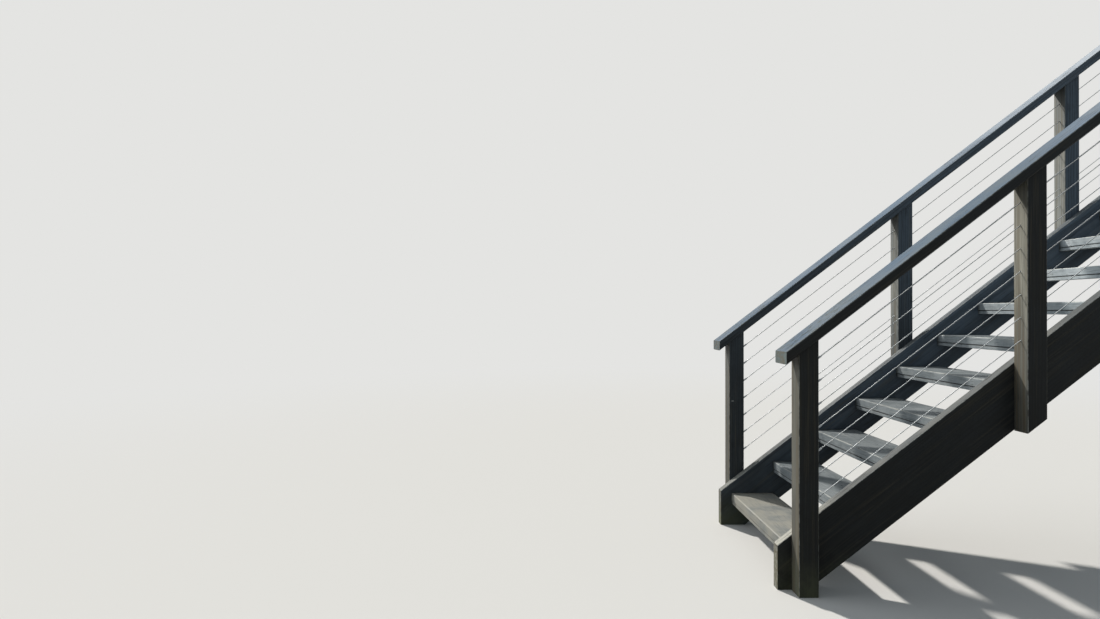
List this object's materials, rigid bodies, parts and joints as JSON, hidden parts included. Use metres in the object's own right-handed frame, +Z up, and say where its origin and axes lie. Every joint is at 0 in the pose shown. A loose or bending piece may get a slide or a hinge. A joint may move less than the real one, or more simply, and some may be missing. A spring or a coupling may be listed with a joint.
{
  "type": "timber deck stairs",
  "caption": "Straight flight of open-riser timber deck stairs with closed stringers, square posts, flat handrails and raking steel wires on both sides.",
  "frame": {"origin": "middle of the plumb face at the upper end of the right stringer, which bears on the edge of the upper floor", "axes": "+X up the flight, square to the edge of the upper floor; +Y from the right side to the left side as one climbs; +Z up"},
  "size_m": [3.34, 1.23, 3.639],
  "materials": {
    "painted_timber": "charcoal paint, satin",
    "tread_timber": "pale grey paint, worn",
    "wire_steel": "stainless wire rope"
  },
  "bodies": {
    "root": {"stringer_right": "painted_timber", "stringer_left": "painted_timber", "tread_01": "tread_timber", "tread_02": "tread_timber", "tread_03": "tread_timber", "tread_04": "tread_timber", "tread_05": "tread_timber", "tread_06": "tread_timber", "tread_07": "tread_timber", "tread_08": "tread_timber", "tread_09": "tread_timber", "tread_10": "tread_timber", "tread_11": "tread_timber", "tread_12": "tread_timber", "tread_13": "tread_timber", "post_right_1": "painted_timber", "post_right_2": "painted_timber", "post_right_3": "painted_timber", "post_right_4": "painted_timber", "post_left_1": "painted_timber", "post_left_2": "painted_timber", "post_left_3": "painted_timber", "post_left_4": "painted_timber", "handrail_right": "painted_timber", "handrail_left": "painted_timber", "wire_right_1": "wire_steel", "wire_right_2": "wire_steel", "wire_right_3": "wire_steel", "wire_right_4": "wire_steel", "wire_right_5": "wire_steel", "wire_right_6": "wire_steel", "wire_right_7": "wire_steel", "wire_left_1": "wire_steel", "wire_left_2": "wire_steel", "wire_left_3": "wire_steel", "wire_left_4": "wire_steel", "wire_left_5": "wire_steel", "wire_left_6": "wire_steel", "wire_left_7": "wire_steel"}
  },
  "joints": []
}
